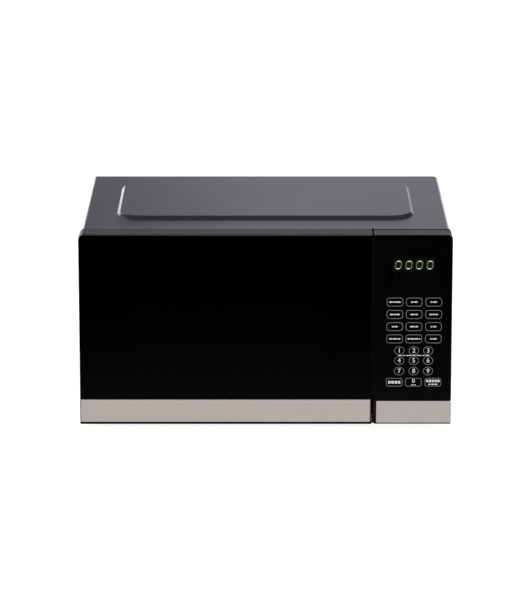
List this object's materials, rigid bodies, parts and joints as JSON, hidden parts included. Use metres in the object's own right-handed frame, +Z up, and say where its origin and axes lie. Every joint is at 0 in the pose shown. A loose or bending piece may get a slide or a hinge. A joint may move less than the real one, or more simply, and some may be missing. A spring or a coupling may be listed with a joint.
{
  "type": "microwave oven",
  "caption": "Compact countertop microwave oven with a left-hinged black glass door, push-to-open button, flat keypad with lit clock, turntable and graphite steel cabinet.",
  "frame": {"origin": "middle of the footprint, on the worktop under the feet", "axes": "+X to the user's right along the front, +Y to the back, +Z up"},
  "size_m": [0.452, 0.352, 0.248],
  "materials": {
    "graphite_paint": "satin graphite paint",
    "grey_steel": "plain zinc-coated sheet",
    "white_enamel": "light grey enamel",
    "black_plastic": "fine-grained moulded plastic",
    "black_gloss": "polished black overlay",
    "black_glass": "polished black-backed glass",
    "brushed_steel": "horizontal brushing",
    "clear_glass": "clear pressed glass",
    "smoked_film": "smooth clear film",
    "dark_steel": "black painted steel",
    "white_plastic": "natural moulded plastic",
    "mica": "pressed mica sheet",
    "rubber": "matt rubber",
    "copper": "enamelled copper winding",
    "aluminium": "drawn aluminium can",
    "lamination": "stacked steel laminations",
    "spring_steel": "drawn steel",
    "circuit_board": "phenolic board",
    "lit_display": "display glass with lit green digits",
    "bulb_glass": "frosted bulb"
  },
  "bodies": {
    "cabinet": {"outer_cover": "graphite_paint", "base_plate": "grey_steel", "back_plate": "grey_steel", "front_plate": "white_enamel", "cavity_box": "white_enamel", "foot_front_left": "rubber", "foot_front_right": "rubber", "foot_rear_left": "rubber", "foot_rear_right": "rubber", "cover_screw_1": "spring_steel", "cover_screw_2": "spring_steel", "cover_screw_3": "spring_steel", "cover_screw_4": "spring_steel", "cord_gland": "black_plastic", "upper_hinge": "grey_steel", "lower_hinge": "grey_steel", "turntable_motor": "grey_steel", "waveguide": "grey_steel", "waveguide_cover": "mica", "magnetron_core": "grey_steel", "magnetron_yoke": "grey_steel", "magnetron_filter_box": "grey_steel", "transformer_core": "lamination", "primary_winding": "copper", "secondary_winding": "copper", "hv_capacitor": "aluminium", "hv_diode": "black_plastic", "thermal_cutout": "black_plastic", "cavity_lamp": "bulb_glass", "lamp_socket": "white_plastic", "fan_shroud": "black_plastic", "fan_motor": "lamination", "latch_bracket": "white_plastic", "lower_door_switch": "black_plastic", "upper_door_switch": "black_plastic", "button_spring": "spring_steel", "control_housing": "black_plastic", "keypad_membrane": "black_gloss", "display_module": "lit_display", "control_board": "circuit_board"},
    "door": {"door_frame": "black_plastic", "door_glass": "black_glass", "door_trim": "brushed_steel", "door_choke_frame": "dark_steel", "door_screen": "dark_steel", "door_inner_window": "smoked_film", "door_inner_cover": "black_plastic", "latch_spring": "spring_steel"},
    "latch": {"door_latch": "white_plastic"},
    "button": {"release_button": "black_plastic", "button_trim": "brushed_steel"},
    "lever": {"release_lever": "white_plastic"},
    "coupler": {"turntable_coupler": "white_plastic"},
    "tray": {"glass_tray": "clear_glass"},
    "ring": {"roller_ring": "white_plastic"},
    "roller_1": {"roller_1": "white_plastic"},
    "roller_2": {"roller_2": "white_plastic"},
    "roller_3": {"roller_3": "white_plastic"},
    "fan": {"cooling_fan": "white_plastic"}
  },
  "joints": [
    {"name": "door_swing", "type": "hinge", "parent": "cabinet", "child": "door", "pos_m": [-0.217, -0.1455, 0.127], "axis": [0, 0, -1], "range_deg": [0, 100]},
    {"name": "latch_lift", "type": "slide", "parent": "door", "child": "latch", "axis": [0, 0, 1], "range_m": [0, 0.0044], "deforming": ["latch_spring"]},
    {"name": "button_press", "type": "slide", "parent": "cabinet", "child": "button", "axis": [0, 1, 0], "range_m": [0, 0.0045], "stiffness_N_per_m": 500, "springref_m": -0.002, "deforming": ["button_spring"]},
    {"name": "lever_turn", "type": "hinge", "parent": "cabinet", "child": "lever", "pos_m": [0.12, -0.126, 0.052], "axis": [1, 0, 0], "range_deg": [0, 12.9]},
    {"name": "turntable_spin", "type": "hinge", "parent": "cabinet", "child": "coupler", "pos_m": [-0.052, 0.0085, 0.041], "axis": [0, 0, 1], "continuous": true},
    {"name": "tray_lift", "type": "slide", "parent": "coupler", "child": "tray", "axis": [0, 0, 1], "range_m": [0, 0.05]},
    {"name": "ring_spin", "type": "hinge", "parent": "cabinet", "child": "ring", "pos_m": [-0.052, 0.0085, 0.0408], "axis": [0, 0, 1], "continuous": true},
    {"name": "fan_spin", "type": "hinge", "parent": "cabinet", "child": "fan", "pos_m": [0.163, 0.159, 0.165], "axis": [0, 1, 0], "continuous": true},
    {"name": "roller_1_spin", "type": "hinge", "parent": "ring", "child": "roller_1", "pos_m": [0.047, 0.0085, 0.0408], "axis": [1, 0, 0], "continuous": true},
    {"name": "roller_2_spin", "type": "hinge", "parent": "ring", "child": "roller_2", "pos_m": [-0.1015, 0.09424, 0.0408], "axis": [-0.5, 0.866, 0], "continuous": true},
    {"name": "roller_3_spin", "type": "hinge", "parent": "ring", "child": "roller_3", "pos_m": [-0.1015, -0.07724, 0.0408], "axis": [-0.5, -0.866, 0], "continuous": true}
  ],
  "couplings": [
    {"joint": "lever_turn", "follows": "button_press", "rad_per_m": 50},
    {"joint": "latch_lift", "follows": "button_press", "ratio": 0.9777},
    {"joint": "ring_spin", "follows": "turntable_spin", "ratio": 0.5},
    {"joint": "roller_1_spin", "follows": "turntable_spin", "ratio": -6.6},
    {"joint": "roller_2_spin", "follows": "turntable_spin", "ratio": -6.6},
    {"joint": "roller_3_spin", "follows": "turntable_spin", "ratio": -6.6}
  ]
}
